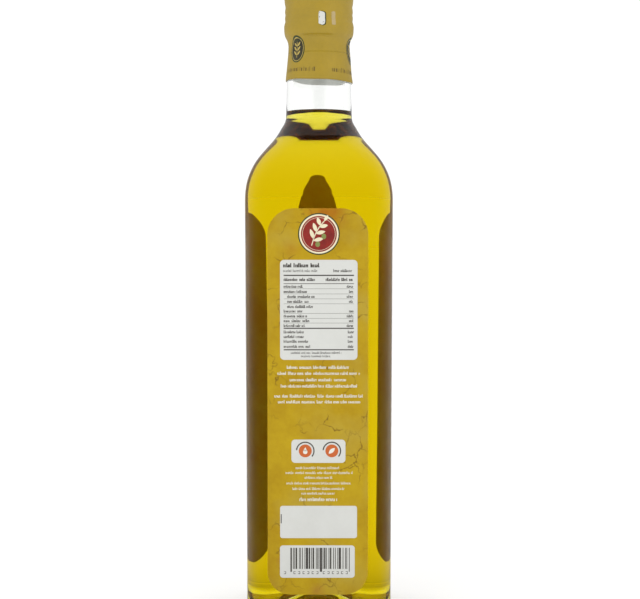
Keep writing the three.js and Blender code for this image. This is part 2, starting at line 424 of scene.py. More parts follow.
@dataclass(frozen=True)
class ParchmentPaper:
    """Gold parchment print on satin paper, with thin brown cracks and warm stains."""

    light: tuple = (0.48, 0.322, 0.009, 1)
    dark: tuple = (0.37, 0.22, 0.005, 1)
    pale: tuple = (0.43, 0.315, 0.045, 1)
    crack: tuple = (0.13, 0.065, 0.008, 1)
    orange: tuple = (0.365, 0.122, 0.004, 1)
    rust: tuple = (0.30, 0.105, 0.04, 1)
    crack_cells: float = 95.0
    crack_warp: float = 0.009
    crack_power: float = 0.7
    satin: float = 0.42
    gloss: float = 0.14
    relief: Relief = Relief(90.0, 2400.0, 0.5, 0.2, 0.03)

    def make(self, fx: Effects) -> bpy.types.Material:
        """Build the material."""
        material, w, shader, where = new_material("Gold parchment paper")
        base = use_group(w, fx.mottle, {"Vector": where, "Light": self.light, "Dark": self.dark,
                                        "Patch scale": 55.0, "Fine scale": 420.0, "Contrast": 0.9})
        pale = w.ramp(w.noise(where, 38.0, 3.0, 0.5), 0.52, 0.68)
        colour = w.blend(w.math("MULTIPLY", pale, 0.6), base.outputs["Color"], self.pale)
        warp = w.add("ShaderNodeTexNoise", {"Vector": where, "Scale": 170.0, "Detail": 5.0})
        shift = w.vector("MULTIPLY", warp.outputs["Color"], (self.crack_warp,) * 3)
        bent = w.vector("ADD", where, shift.outputs[0])
        cells = w.add("ShaderNodeTexVoronoi", {"Vector": bent.outputs[0], "Scale": self.crack_cells},
                      feature="DISTANCE_TO_EDGE")
        line = w.ramp(cells.outputs["Distance"], 0.028, 0.005)
        some = w.ramp(w.noise(where, 80.0, 2.0, 0.5), 0.49, 0.58)
        colour = w.blend(w.math("MULTIPLY", w.math("MULTIPLY", line, some), self.crack_power),
                         colour, self.crack)
        for tint, x, z, size, power in ((self.orange, 0.003, 0.186, 0.013, 1.0),
                                        (self.orange, -0.012, 0.170, 0.006, 0.35),
                                        (self.rust, -0.001, 0.016, 0.006, 0.4),
                                        (self.rust, -0.017, 0.030, 0.003, 0.4)):
            away = w.vector("SUBTRACT", where, (x, 0.0, z)).outputs[0]
            flat = w.vector("MULTIPLY", away, (1.0, 0.0, 1.0)).outputs[0]
            far = w.vector("LENGTH", flat).outputs["Value"]
            uneven = w.math("ADD", far, w.math("MULTIPLY", w.noise(where, 190.0, 5.0, 0.7), size))
            spot = w.math("MULTIPLY", w.ramp(uneven, size * 1.35, size * 0.5), power)
            colour = w.blend(spot, colour, tint)
        w.tree.links.new(colour, shader.inputs["Base Color"])
        set_sockets(shader, {"Specular IOR Level": self.gloss})
        rough = w.math("ADD", w.math("MULTIPLY", base.outputs["Mask"], 0.12), self.satin)
        w.tree.links.new(rough, shader.inputs["Roughness"])
        self.relief.apply(w, fx, where, shader)
        return material


@dataclass(frozen=True)
class PlainCoat:
    """An ink, a paper back, a film or a metal: mottled colour with fine relief and, where set, a painted
    glow.
    """

    name: str
    light: tuple
    dark: tuple
    roughness: float = 0.5
    metallic: float = 0.0
    patch: float = 90.0
    contrast: float = 0.6
    relief: float = 0.01
    wave: float = 60.0
    grain: float = 1500.0
    dust: float = 0.05
    specular: float = 0.3
    # painted light: a glow that makes the surface give off light though it is no lamp
    glow: float = 0.0

    def make(self, fx: Effects) -> bpy.types.Material:
        """Build the material."""
        material, w, shader, where = new_material(self.name)
        base = use_group(w, fx.mottle, {"Vector": where, "Light": self.light, "Dark": self.dark,
                                        "Patch scale": self.patch, "Fine scale": self.grain * 0.5,
                                        "Contrast": self.contrast})
        w.tree.links.new(base.outputs["Color"], shader.inputs["Base Color"])
        set_sockets(shader, {"Metallic": self.metallic, "Specular IOR Level": self.specular,
                             "Emission Color": (1, 1, 1, 1), "Emission Strength": self.glow})
        dust = use_group(w, fx.dust, {"Vector": where, "Speck scale": 420.0, "Amount": self.dust})
        rough = w.math("ADD", w.math("MULTIPLY", base.outputs["Mask"], 0.1), self.roughness)
        rough = w.math("ADD", rough, dust.outputs["Mask"], True)
        w.tree.links.new(rough, shader.inputs["Roughness"])
        Relief(self.wave, self.grain, 0.35, 0.3, self.relief).apply(w, fx, where, shader)
        return material


class Ink(Enum):
    """The inks of the two labels and the capsule."""

    PANEL = PlainCoat("White panel ink", (0.635, 0.64, 0.61, 1), (0.58, 0.585, 0.55, 1), 0.5)
    DARK = PlainCoat("Dark ink", (0.045, 0.04, 0.035, 1), (0.09, 0.08, 0.07, 1), 0.5)
    WHITE = PlainCoat("White ink", (0.80, 0.79, 0.72, 1), (0.7, 0.68, 0.6, 1), 0.5)
    CREAM = PlainCoat("Cream ink", (0.79, 0.72, 0.52, 1), (0.68, 0.6, 0.4, 1), 0.45)
    RED = PlainCoat("Dark red ink", (0.30, 0.022, 0.014, 1), (0.09, 0.006, 0.009, 1), 0.35, patch=110.0)
    GREEN = PlainCoat("Deep green ink", (0.05, 0.065, 0.02, 1), (0.03, 0.04, 0.014, 1), 0.4)
    BADGE = PlainCoat("Black green ink", (0.06, 0.055, 0.028, 1), (0.02, 0.02, 0.01, 1), 0.4, patch=260.0,
                      contrast=1.0)
    GOLD = PlainCoat("Gold ink", (0.5, 0.38, 0.1, 1), (0.42, 0.31, 0.07, 1), 0.4)
    FAINT = PlainCoat("Faint brown ink", (0.13, 0.085, 0.02, 1), (0.2, 0.135, 0.025, 1), 0.45)
    SCUFF = PlainCoat("Scuffed film", (0.45, 0.36, 0.2, 1), (0.4, 0.29, 0.09, 1), 0.5)
    OLIVE = PlainCoat("Olive green ink", (0.25, 0.28, 0.08, 1), (0.16, 0.19, 0.05, 1), 0.45)
    ORANGE = PlainCoat("Orange ink", (0.56, 0.13, 0.03, 1), (0.5, 0.11, 0.025, 1), 0.4)


# The bottle's form
@dataclass(frozen=True)
class BottleForm:
    """Sizes of the square bottle in mm, and the sections that they give."""

    half_top: float = 33.4
    half_low: float = 32.72
    corner: float = 10.5
    heel: float = 8.0
    ridge_z: float = 8.7
    ridge: float = 0.2
    body_top: float = 192.0
    punt_r: float = 21.5
    punt_depth: float = 9.3
    corner_start: float = 214.0
    corner_end: float = 231.0
    mouth_z: float = 289.4
    mouth_r: float = 13.7
    bore_r: float = 12.2
    wall: float = 2.7
    inner_corner: float = 8.0
    floor_z: float = 7.5
    floor_rise: float = 5.5
    fillet: float = 4.0
    oil_top: float = 231.5
    rows: tuple = (
        (192, 33.4), (194.7, 33.3), (197.5, 32.98), (200.3, 32.45), (203.1, 31.62), (205.9, 30.5),
        (208.8, 29.02), (211.6, 27.2), (214.5, 24.95), (217.3, 22.75), (220.2, 20.6), (223.1, 18.8),
        (224.6, 18.0), (226.1, 17.2), (227.5, 16.4), (228.9, 15.75), (229.6, 15.55), (230.3, 15.42),
        (231.7, 15.35), (236, 15.2), (241, 15.05), (247, 14.95),
        (252, 14.68), (256, 14.38), (260, 14.0), (264, 13.62), (267.5, 13.55), (269, 13.9), (284, 13.9))

    def half_width(self, z: float) -> float:
        """Half width across the flats of the outside at a height."""
        if z <= self.body_top:
            return mix(self.half_low, self.half_top, (z - self.heel) / (self.body_top - self.heel))
        return Profile(self.rows).at(z)

    def rise(self, z: float) -> float:
        """How far up the shoulder a height is, smoothed, from 0 to 1."""
        return smooth((z - self.corner_start) / (self.corner_end - self.corner_start))

    def rim(self, x: float, y: float, z: float) -> float:
        """Distance from the axis to the outside in a point's direction, at its height."""
        wall = self.half_width(max(z, self.heel))
        return float(reach(np.array([math.atan2(y, x)]), wall, mix(self.corner, wall, self.rise(z)))[0])

    def outside(self) -> list:
        """Rows (height, half width, corner radius) from above the heel to the neck's top."""
        heights = [9.4, 20, 60, 110, 160, 178]
        for low, high, step in ((180.0, 192.0, 1.5), (192.0, 238.0, 0.75), (238.0, 284.1, 1.5)):
            heights += list(np.arange(low, high, step))
        rows = []
        for z in heights:
            w = self.half_width(z)
            rows.append((z, w, mix(self.corner, w, self.rise(z))))
        return rows

    def inside(self, grow: float) -> list:
        """Rows of the room inside from the fillet up to the bore.

        Args:
            grow: how far the rows reach into the wall, in mm.

        Returns:
            Rows (height, half width, corner radius).
        """
        rows = []
        for z in (20.0, 60.0, 110.0, 160.0, 178.0):
            rows.append((z, self.half_width(z) - self.wall + grow, self.inner_corner + grow))
        for z in np.arange(180.0, 236.0, 0.75):
            slope = (self.half_width(z + 0.4) - self.half_width(z - 0.4)) / 0.8
            length = math.hypot(1, slope)
            w = max(self.bore_r, self.half_width(z) - self.wall / length)
            up = z + self.wall * slope / length
            r = w if w <= self.bore_r else mix(self.inner_corner, w, self.rise(z))
            if up < self.oil_top - 0.3:
                rows.append((up, w + grow, r + grow))
        return rows

    def room(self, grow: float) -> list:
        """Sections of the room from the middle of the floor to the bore."""
        side = self.half_low - self.wall + grow
        floor_w = side - self.fillet - grow
        rings = []
        for f in (0.06, 0.2, 0.35, 0.5, 0.65, 0.8, 0.92, 1.0):
            w = f * floor_w
            r = mix(w, self.inner_corner * 0.45, f * f)
            rings.append(section(self.floor_z - grow + self.floor_rise * (1 - f * f) ** 1.2, w, r))
        reach_out = self.fillet + grow
        for across, up in quarter(12)[1:]:
            r = mix(self.inner_corner * 0.45, self.inner_corner + grow, across)
            rings.append(section(self.floor_z - grow + reach_out * up, floor_w + reach_out * across, r))
        rings += [section(*row) for row in self.inside(grow)]
        return rings


@dataclass
class Vessel:
    """The glass bottle, the oil in it and the cap under the capsule."""

    form: BottleForm
    fx: Effects
    overlap: float = 0.15
    seam: float = 0.07
    seam_half: float = 0.9
    wet_share: float = 0.45
    calm_mirror: tuple = (0.1, 0.1, 0.1, 1)
    calm_top: float = 221.0

    def glass(self) -> bpy.types.Object:
        """The hollow bottle as one closed shell with a mould seam on two sides."""
        f = self.form
        rings = []
        for s in (0.06, 0.2, 0.35, 0.5, 0.65, 0.8, 0.9, 0.97):
            rings.append(circle(f.punt_depth * (1 - s * s), f.punt_r * s))
        rings += [circle(0.06, f.punt_r - 0.1), circle(0.0, f.punt_r + 0.25)]
        for across, up in quarter(10):
            w = f.half_low - f.heel * (1 - across)
            rings.append(section(f.heel * up, w, f.corner - f.heel * (1 - across)))
        for up, lift in ((-0.35, 0.0), (-0.12, 0.9), (0.12, 0.9), (0.35, 0.0)):
            z = f.ridge_z + up
            rings.append(section(z, f.half_width(z) + lift * f.ridge, f.corner))
        rings += [section(*row) for row in f.outside()]
        rings += [circle(z, r) for z, r in (
            (f.mouth_z - 2.5, f.mouth_r + 0.2), (f.mouth_z - 0.9, f.mouth_r + 0.15),
            (f.mouth_z - 0.25, f.mouth_r - 0.15), (f.mouth_z, f.mouth_r - 0.6),
            (f.mouth_z, f.bore_r + 0.6), (f.mouth_z - 0.3, f.bore_r + 0.15), (f.mouth_z - 0.8, f.bore_r))]
        rings += [circle(z, f.bore_r) for z in (280, 265, 250, 240, f.oil_top + 1)]
        rings += list(reversed(f.room(0.0)))
        obj = loft("glass_bottle_visual", f.punt_depth, rings, f.floor_z + f.floor_rise)
        self._press_seam(obj)
        obj.data.materials.append(ClearGlass().make(self.fx))
        obj.data.materials.append(ClearGlass("Glass against oil", (0, 0, 0, 1)).make(self.fx))
        obj.data.materials.append(ClearGlass("Glass round oil", self.calm_mirror).make(self.fx))
        self._mark_wet(obj)
        return obj

    def _mark_wet(self, obj: bpy.types.Object) -> None:
        """Give the faces that oil touches, and the outside of the same wall, their own glass."""
        f = self.form
        for poly in obj.data.polygons:
            x, y, z = (c / MM for c in poly.center)
            if z > f.oil_top + 0.3:
                continue
            within = math.hypot(x, y) < f.rim(x, y, z) - self.wet_share * f.wall and z > f.floor_z - 1.0
            if within or z < self.calm_top:
                poly.material_index = 1 if within else 2

    def _press_seam(self, obj: bpy.types.Object) -> None:
        """Raise the mould seam up the middle of the two unlabelled sides."""
        f = self.form
        for v in obj.data.vertices:
            x, y, z = (c / MM for c in v.co)
            if z < f.heel or z > f.body_top:
                continue
            away = abs((math.atan2(y, x) + math.pi / 2) % math.pi - math.pi / 2)
            rho = math.hypot(x, y)
            if away * rho > self.seam_half or rho < f.rim(x, y, z) - 1.0:
                continue
            lift = self.seam * (1 - away * rho / self.seam_half)
            v.co.x += v.co.x / rho * lift
            v.co.y += v.co.y / rho * lift

    def oil(self) -> bpy.types.Object:
        """The oil, reaching just into the wall, with its surface curved up where it wets the glass."""
        f = self.form
        rings = f.room(self.overlap)
        for z, inset in ((2.2, -self.overlap), (1.8, 0.16), (1.4, 0.45), (1.05, 0.85), (0.72, 1.4),
                         (0.45, 2.1), (0.24, 3.0), (0.1, 4.2), (0.03, 5.6), (0.0, 7.5), (0.0, 10.0)):
            rings.append(circle(f.oil_top + z, f.bore_r - inset))
        obj = loft("olive_oil_visual", f.floor_z + f.floor_rise - self.overlap, rings, f.oil_top)
        obj.data.materials.append(GoldenOil().make(self.fx))
        return obj

    def build(self) -> None:
        """Make the pieces and dress the cap."""
        glass = self.glass()
        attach(glass, "root")
        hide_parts("glass_bottle")
        LOG.info("glass bottle: %d faces", len(glass.data.polygons))
        oil = self.oil()
        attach(oil, "root")
        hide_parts("olive_oil")
        LOG.info("oil: %d faces", len(oil.data.polygons))
        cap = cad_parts["screw_cap"]
        metal = PlainCoat("Satin aluminium", (0.62, 0.61, 0.58, 1), (0.5, 0.49, 0.46, 1), 0.28, 1.0,
                          patch=120.0, contrast=0.5, relief=0.02).make(self.fx)
        cap.data.materials.clear()
        cap.data.materials.append(metal)
        LOG.info("screw cap dressed")


@dataclass
class NeckCapsule:
    """The gold shrink capsule over the cap and the top of the neck.

    A crease is its lift, height and spread in mm, then its middle, half width and fade in radians.
    """

    fx: Effects
    wall: float = 0.22
    top_z: float = 292.0
    tilt: float = 0.6
    around: int = 176
    badge_z: float = 261.3
    worn_z: float = 274.9
    shapes: dict = field(default_factory=dict)
    outline: tuple = (
        (247.2, 15.52), (248.4, 15.46), (250.3, 15.3), (252.1, 15.12), (255.8, 14.8), (259.5, 14.46),
        (262.0, 14.26), (263.6, 14.2), (265.0, 14.32), (266.2, 14.65), (267.3, 15.2), (268.4, 15.75),
        (269.6, 16.03), (270.8, 16.14), (272.6, 16.2), (273.9, 15.98), (275.2, 15.66), (276.6, 15.8),
        (278.1, 15.62), (279.7, 15.78), (281.7, 15.56), (283.4, 15.86), (285.4, 16.02), (289.8, 16.02),
        (291.0, 15.75), (291.7, 15.2))
    creases: tuple = ((-0.5, 267.2, 0.38, -0.04, 0.38, 0.12), (0.2, 268.1, 0.45, -0.04, 0.42, 0.12),
                      (0.3, 277.9, 0.4, -0.16, 0.2, 0.06))
    folds: tuple = (-0.34, 0.28, 0.43, -1.9, -2.6, 1.5, 2.4)

    def _radius(self, z: float, a: float) -> float:
        """Outer radius at a height and an angle, with folds, creases and the overlap seam."""
        r = Profile(self.outline).at(z)
        front = (a + math.pi / 2 + math.pi) % TURN - math.pi
        seam = front - 0.46
        if 0 < seam < 0.5:
            r += 0.12 * (1 - smooth(seam / 0.5)) * smooth(seam / 0.02)
        skirt = smooth((266 - z) / 6)
        r += skirt * 0.05 * math.sin(3 * a + 0.6) + skirt * 0.03 * math.sin(7 * a + z * 0.2)
        for lift, middle, spread, facing, half, fade in self.creases:
            edge = smooth((abs(front - facing) - half) / fade)
            r += lift * math.exp(-((z - middle) / spread) ** 2) * (1 - edge)
        for fold in self.folds:
            r += 0.05 * skirt * math.exp(-((front - fold) / 0.03) ** 2)
        flare = smooth((251 - z) / 4) * math.exp(-((front - 1.35) / 0.4) ** 2)
        return r + 0.28 * flare

    def _heights(self) -> list:
        """Heights of the rows from the lower edge to the top."""
        rows = list(np.arange(247.2, 260.0, 0.8)) + list(np.arange(260.0, 286.0, 0.35))
        return rows + [287.0, 288.4, 289.6, 290.3, 290.9, 291.3, 291.6]

    def _point(self, z: float, a: float, inset: float) -> tuple:
        """A point of the film at a height and an angle, moved in by a distance."""
        low = smooth((258 - z) / 10)
        wave = -self.tilt * math.cos(a) + 0.1 * math.sin(5 * a + 1.0)
        r = self._radius(z, a) - inset
        up = min(z + low * wave, self.top_z - inset - 0.25)
        return (r * math.cos(a), r * math.sin(a), up)

    def _patch(self, ink: Ink, facing: float, z: float, shape: list, lift: float) -> None:
        """Add a printed shape that follows the film.

        Args:
            ink: colour of the shape.
            facing: angle of its middle from the face shown, in degrees, to the viewer's right.
            z: height of its middle in mm.
            shape: (across, low, high) rows in mm from its left edge to its right edge.
            lift: distance off the film in mm.
        """
        verts, faces = self.shapes.setdefault(ink, ([], []))
        steps = 8
        for i, (u, low, high) in enumerate(shape):
            a = math.radians(facing - 90) + u / 14.5
            at = len(verts)
            verts += [self._point(z + mix(low, high, k / steps), a, -lift) for k in range(steps + 1)]
            if i:
                faces += [(at + k - steps - 1, at + k, at + k + 1, at + k - steps) for k in range(steps)]

    def _oval(self, across: float, tall: float) -> list:
        """Rows of an oval of two half sizes."""
        turns = [math.pi * k / 24 for k in range(25)]
        return [(-across * math.cos(t), -tall * math.sin(t), tall * math.sin(t)) for t in turns]

    def _leaf(self, u: float, v: float, length: float, lean: float) -> list:
        """Rows of a small leaf that rises from (u, v) to one side."""
        rows = []
        for q in np.linspace(0, 1, 9):
            middle, half = v + abs(lean) * length * q, 0.62 * math.sin(math.pi * q)
            rows.append((u + math.copysign(length * q, lean), middle - half, middle + half))
        return rows if lean > 0 else list(reversed(rows))

    def dress(self, inks: dict) -> None:
        """Print three oval badges with a plain sprig, a row of small marks and a worn spot."""
        for facing in (-44.0, 79.0, 201.0):
            self._patch(Ink.GREEN, facing, self.badge_z, self._oval(4.3, 6.2), 0.03)
            self._patch(Ink.GOLD, facing, self.badge_z, self._oval(3.75, 5.6), 0.045)
            self._patch(Ink.BADGE, facing, self.badge_z, self._oval(3.5, 5.3), 0.06)
            self._patch(Ink.GOLD, facing, self.badge_z, [(-0.13, -3.9, 3.4), (0.13, -3.9, 3.4)], 0.075)
            for v in (-2.6, -0.6, 1.4):
                for lean in (-0.9, 0.9):
                    self._patch(Ink.GOLD, facing, self.badge_z, self._leaf(0.15 * lean, v, 1.9, lean), 0.075)
        rng = random.Random(41)
        for start in (-70.0, 24.0, 150.0):
            for k in range(17):
                tall, wide = rng.choice((0.75, 0.75, 1.2)), rng.choice((0.22, 0.3, 0.62))
                mark = [(-wide / 2, -0.75, tall), (wide / 2, -0.75, tall)]
                self._patch(Ink.FAINT, start + k * 3.9 + rng.uniform(-0.6, 0.6), 251.6, mark, 0.03)
        worn = [(-1.5, -2.6, 2.0), (-1.2, -2.9, 2.9), (0.0, -3.4, 2.7), (0.9, -3.0, 2.4), (1.2, -2.0, 1.7)]
        edge = [(1.12 * u, 1.08 * low, 1.08 * high) for u, low, high in worn]
        self._patch(Ink.GREEN, 6.8, self.worn_z, edge, 0.03)
        self._patch(Ink.PANEL, 5.4, self.worn_z, worn, 0.05)
        scuff = [(-0.8, -3.0, 2.6), (0.0, -3.2, 3.0), (0.9, -3.1, 2.8)]
        self._patch(Ink.SCUFF, 24.5, self.worn_z, scuff, 0.04)
        for ink, (verts, faces) in self.shapes.items():
            obj = mesh_object(f"capsule_{ink.name.lower()}_print", verts, faces)
            obj.data.materials.append(inks[ink])
            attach(obj, "root")

    def sleeve(self) -> bpy.types.Object:
        """The sleeve as one closed shell: gold outside, grey inside with a faint painted glow."""
        angles = [TURN * i / self.around for i in range(self.around)]
        heights = self._heights()
        outer, inner = [], []
        for z in heights:
            for store, inset in ((outer, 0.0), (inner, self.wall)):
                store.append(np.array([self._point(z, a, inset) for a in angles]))
        for store, inset in ((outer, 0.0), (inner, self.wall)):
            for r, drop in ((14.9, 0.12), (14.4, 0.03), (13.6, 0.0), (9.0, 0.0), (4.0, 0.0)):
                store.append(np.array([((r - inset) * math.cos(a), (r - inset) * math.sin(a),
                                        self.top_z - inset - drop) for a in angles]))
        rings = list(reversed(inner)) + outer
        obj = loft("neck_capsule_visual", self.top_z - self.wall, rings, self.top_z)
        gold = PlainCoat("Gold shrink film", (0.385, 0.255, 0.008, 1), (0.325, 0.22, 0.007, 1), 0.38, 0.0,
                         patch=70.0, contrast=0.9, relief=0.05, wave=130.0, grain=900.0, specular=0.6)
        # Painted light: the grey inside of the film glows faintly, though it is no lamp.
        grey = PlainCoat("Grey film back", (0.78, 0.79, 0.74, 1), (0.68, 0.69, 0.64, 1), 0.6, glow=0.12)
        obj.data.materials.append(gold.make(self.fx))
        obj.data.materials.append(grey.make(self.fx))
        for poly in obj.data.polygons:
            x, y, z = (c / MM for c in poly.center)
            n = poly.normal
            if n.x * x + n.y * y < -0.05 * math.hypot(x, y) or (n.z < -0.5 and z > 280):
                poly.material_index = 1
        return obj

    def build(self, inks: dict) -> None:
        """Make the capsule and its print."""
        self.dress(inks)
        obj = self.sleeve()
        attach(obj, "root")
        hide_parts("neck_capsule")
        LOG.info("capsule: %d faces", len(obj.data.polygons))


# Labels and print
@dataclass
class Print:
    """Flat shapes in a label's own plane, in mm: u to the viewer's right, v up."""

    form: BottleForm
    side: int
    centre: float
    lift: float = 0.15
    shapes: dict = field(default_factory=dict)
    strokes: dict = field(default_factory=dict)

    def place(self, u: float, v: float, lift: float) -> tuple:
        """A point of the print on the bottle's face."""
        return (self.centre - self.side * u, self.side * (self.form.half_width(v) + lift), v)

    def poly(self, ink: Ink, points: list, extra: float = 0.0) -> None:
        """Add a flat outline, counter-clockwise as the viewer sees it."""
        verts, faces = self.shapes.setdefault(ink, ([], []))
        at = len(verts)
        verts += [self.place(u, v, self.lift + extra) for u, v in points]
        faces.append(tuple(range(at, at + len(points))))

    def box(self, ink: Ink, u0: float, v0: float, u1: float, v1: float, r: float = 0.0,
            extra: float = 0.0) -> None:
        """Add a rectangle, rounded if r is over 0."""
        if r <= 0:
            self.poly(ink, [(u0, v0), (u1, v0), (u1, v1), (u0, v1)], extra)
            return
        points = []
        for cu, cv, start in ((u1 - r, v0 + r, -90), (u1 - r, v1 - r, 0), (u0 + r, v1 - r, 90),
                              (u0 + r, v0 + r, 180)):
            for k in range(7):
                a = math.radians(start + 15 * k)
                points.append((cu + r * math.cos(a), cv + r * math.sin(a)))
        self.poly(ink, points, extra)

    def disc(self, ink: Ink, u: float, v: float, ru: float, rv: float | None = None,
             extra: float = 0.0, steps: int = 48) -> None:
        """Add a disc or an oval."""
        rv = ru if rv is None else rv
        self.poly(ink, [(u + ru * math.cos(TURN * k / steps), v + rv * math.sin(TURN * k / steps))
                        for k in range(steps)], extra)

    def arc(self, ink: Ink, u: float, v: float, r: float, width: float, start: float, end: float,
            extra: float = 0.0, steps: int = 40) -> None:
        """Add a bent bar from one angle to another, in degrees."""
        for k in range(steps):
            a, b = (math.radians(mix(start, end, (k + i) / steps)) for i in (0, 1))
            points = [((r - width / 2), a), ((r + width / 2), a), ((r + width / 2), b), ((r - width / 2), b)]
            self.poly(ink, [(u + q * math.cos(t), v + q * math.sin(t)) for q, t in points], extra)

    def leaf(self, ink: Ink, u: float, v: float, length: float, width: float, turn: float,
             extra: float = 0.0) -> None:
        """Add a pointed leaf that grows from (u, v) in a direction, in degrees."""
        t = math.radians(turn)
        side = [(length * s, width / 2 * math.sin(math.pi * s) ** 0.85) for s in np.linspace(0, 1, 9)]
        outline = [(x, -y) for x, y in side] + [(x, y) for x, y in reversed(side[1:-1])]
        self.poly(ink, [(u + x * math.cos(t) - y * math.sin(t), v + x * math.sin(t) + y * math.cos(t))
                        for x, y in outline], extra)

    def sprig(self, stem: Ink, fruit: Ink, u: float, v: float, size: float, turn: float,
              extra: float = 0.0) -> None:
        """Add a plain sprig: a bent stem, paired leaves and two fruits."""
        t = math.radians(turn)

        def spot(x: float, y: float) -> tuple:
            """A point of the sprig in the label's plane."""
            return (u + size * (x * math.cos(t) - y * math.sin(t)),
                    v + size * (x * math.sin(t) + y * math.cos(t)))

        spine = [(s - 0.5, 0.12 * math.sin(2.4 * s)) for s in np.linspace(0, 1, 12)]
        for (x0, y0), (x1, y1) in zip(spine, spine[1:]):
            self.poly(stem, [spot(x0, y0 - 0.018), spot(x1, y1 - 0.018), spot(x1, y1 + 0.018),
                             spot(x0, y0 + 0.018)], extra)
        for k, (x, y) in enumerate(spine[2:10:3]):
            for lean in (52, -46):
                pu, pv = spot(x + (0.06 if lean > 0 else 0.0), y)
                self.leaf(stem, pu, pv, size * (0.4 - 0.04 * k), size * 0.14, turn + lean, extra)
        pu, pv = spot(*spine[-1])
        self.leaf(stem, pu, pv, size * 0.26, size * 0.12, turn, extra)
        for x, y in ((-0.34, -0.16), (0.02, -0.2)):
            pu, pv = spot(x, y)
            self.disc(fruit, pu, pv, size * 0.085, size * 0.1, extra + 0.004, 20)

    def line(self, ink: Ink, u0: float, u1: float, v: float, height: float, seed: int,
             weight: float = 1.0, extra: float = 0.004) -> None:
        """Add a row of small strokes that stands for a line of small print, without letters.

        Args:
            ink: colour of the strokes.
            u0: left end in mm.
            u1: right end in mm.
            v: middle height in mm.
            height: height of a tall stroke in mm.
            seed: seed of the row.
            weight: stroke width factor.
            extra: lift over the print below it.
        """
        rng = random.Random(seed)
        u = u0
        thick = 0.13 * height * weight
        store = self.strokes.setdefault(ink, [])
        while u < u1 - height * 0.4:
            word = min(u1, u + height * rng.uniform(1.6, 4.6))
            while u < word - thick:
                step = height * rng.uniform(0.26, 0.42)
                tall = height * (1.0 if rng.random() < 0.22 else 0.68)
                base = v - height / 2
                store.append((self.place(u + thick / 2, base + tall / 2, self.lift + extra), (thick, tall)))
                if rng.random() < 0.7:
                    bar = rng.choice((thick / 2, tall / 2, tall - thick / 2)) if tall < height else thick / 2
                    centre = self.place(u + step / 2, base + bar, self.lift + extra)
                    store.append((centre, (step, thick * 0.85)))
                u += step
            u = word + height * rng.uniform(0.32, 0.5)


class StrokeTree:
    """The Geometry Nodes tree that lays a small flat stroke on every point."""

    def __init__(self) -> None:
        """Build the tree with its named inputs."""
        tree = bpy.data.node_groups.new("Printed strokes", "GeometryNodeTree")
        face = tree.interface
        face.new_socket("Geometry", in_out="INPUT", socket_type="NodeSocketGeometry")
        self.width = face.new_socket("Width factor", in_out="INPUT", socket_type="NodeSocketFloat").identifier
        self.turn = face.new_socket("Facing", in_out="INPUT", socket_type="NodeSocketRotation").identifier
        self.ink = face.new_socket("Ink", in_out="INPUT", socket_type="NodeSocketMaterial").identifier
        face.new_socket("Geometry", in_out="OUTPUT", socket_type="NodeSocketGeometry")
        w = Wiring(tree)
        src, out = w.add("NodeGroupInput"), w.add("NodeGroupOutput")
        quad = w.add("GeometryNodeMeshGrid", {"Size X": 1.0, "Size Y": 1.0, "Vertices X": 2,
                                              "Vertices Y": 2})
        size = w.add("GeometryNodeInputNamedAttribute", {"Name": "stroke_size"}, data_type="FLOAT_VECTOR")
        wide = w.add("ShaderNodeCombineXYZ", {"X": src.outputs["Width factor"], "Y": 1.0, "Z": 1.0})
        scale = w.vector("MULTIPLY", size.outputs["Attribute"], wide.outputs[0])
        put = w.add("GeometryNodeInstanceOnPoints", {
            "Points": src.outputs["Geometry"], "Instance": quad.outputs["Mesh"],
            "Rotation": src.outputs["Facing"], "Scale": scale.outputs[0]})
        real = w.add("GeometryNodeRealizeInstances", {"Geometry": put.outputs[0]})
        paint = w.add("GeometryNodeSetMaterial", {"Geometry": real.outputs[0],
                                                  "Material": src.outputs["Ink"]})
        tree.links.new(paint.outputs[0], out.inputs[0])
        self.tree = tree

    def lay(self, name: str, strokes: list, facing: tuple, ink: bpy.types.Material) -> bpy.types.Object:
        """Lay strokes and turn the result into a plain mesh.

        Args:
            name: object name.
            strokes: (point in mm, (width, height) in mm) for each stroke.
            facing: Euler angles that turn an upward quad to the label's face.
            ink: material of the strokes.

        Returns:
            The object.
        """
        seeds = mesh_object(name + "_points", [p for p, _ in strokes], [])
        layer = seeds.data.attributes.new("stroke_size", "FLOAT_VECTOR", "POINT")
        for k, (_, (wide, tall)) in enumerate(strokes):
            layer.data[k].vector = (wide * MM, tall * MM, 1.0)
        modifier = seeds.modifiers.new("Strokes", "NODES")
        modifier.node_group = self.tree
        modifier[self.width] = 1.0
        modifier[self.turn] = facing
        modifier[self.ink] = ink
        graph = bpy.context.evaluated_depsgraph_get()
        mesh = bpy.data.meshes.new_from_object(seeds.evaluated_get(graph))
        mesh.name = name
        seeds.modifiers.clear()
        bpy.data.objects.remove(seeds)
        obj = bpy.data.objects.new(name, mesh)
        bpy.context.scene.collection.objects.link(obj)
        return obj


